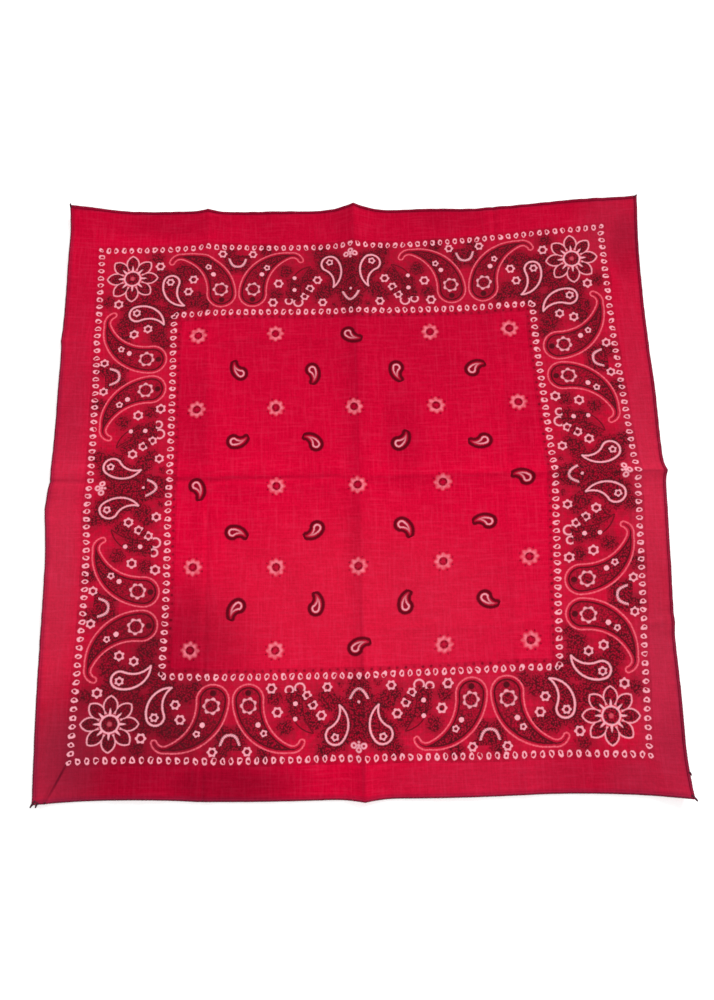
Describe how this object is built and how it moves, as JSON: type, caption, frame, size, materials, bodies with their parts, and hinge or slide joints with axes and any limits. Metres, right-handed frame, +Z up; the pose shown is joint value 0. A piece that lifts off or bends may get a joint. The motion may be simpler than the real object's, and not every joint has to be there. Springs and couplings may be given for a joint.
{
  "type": "bandana",
  "caption": "Square printed cotton bandana laid flat, with its packing folds still in it and narrow rolled hems on all sides.",
  "frame": {"origin": "on the surface the cloth lies on, at the middle of the whole cloth's box", "axes": "+X to the cloth's right, -Y towards its front edge (the edge nearest the viewer), +Z up out of the printed side"},
  "size_m": [0.5559, 0.5526, 0.0101],
  "materials": {
    "printed_cotton": "plain-woven cotton, red ground with a traditional paisley print in dark maroon and white",
    "hemmed_cotton": "the same cotton rolled and overlocked with dark thread"
  },
  "bodies": {
    "root": {"panel": "printed_cotton", "hem_front": "hemmed_cotton", "hem_back": "hemmed_cotton", "hem_left": "hemmed_cotton", "hem_right": "hemmed_cotton"}
  },
  "joints": []
}
